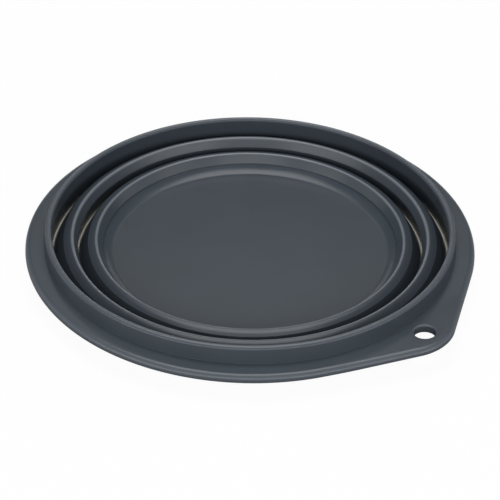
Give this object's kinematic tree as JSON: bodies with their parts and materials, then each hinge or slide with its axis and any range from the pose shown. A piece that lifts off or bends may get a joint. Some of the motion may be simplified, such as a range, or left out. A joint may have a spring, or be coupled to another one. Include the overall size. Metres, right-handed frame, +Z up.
{
  "type": "collapsible silicone travel bowl",
  "caption": "Round silicone travel bowl that folds flat in concentric tiers, with an upstanding lip, a flat brim and a pierced tab to hang it by.",
  "frame": {"origin": "centre of the base's flat underside, on the surface that the bowl stands on", "axes": "+Z up through the bowl's mouth, +X along the hang tab"},
  "size_m": [0.2117, 0.201, 0.0185],
  "materials": {
    "silicone_slate": "moulded silicone rubber, slate grey, satin matt",
    "silicone_thin": "the same silicone drawn thin at the fold, where light passes through it"
  },
  "bodies": {
    "base": {"base_floor": "silicone_slate", "base_wall": "silicone_slate", "base_ring": "silicone_slate", "lower_fold_web": "silicone_slate"},
    "middle": {"lower_fold_hinge": "silicone_thin", "middle_wall": "silicone_slate", "middle_ring": "silicone_slate", "upper_fold_web": "silicone_slate"},
    "rim": {"upper_fold_hinge": "silicone_thin", "rim_wall": "silicone_slate", "rim_lip": "silicone_slate", "rim_brim": "silicone_slate", "hang_tab": "silicone_slate"}
  },
  "joints": [
    {"name": "lower_fold", "type": "slide", "parent": "base", "child": "middle", "axis": [0, 0, 1], "range_m": [0, 0.016], "deforming": ["lower_fold_web", "lower_fold_hinge"]},
    {"name": "upper_fold", "type": "slide", "parent": "middle", "child": "rim", "axis": [0, 0, 1], "range_m": [0, 0.017], "deforming": ["upper_fold_web", "upper_fold_hinge"]}
  ]
}
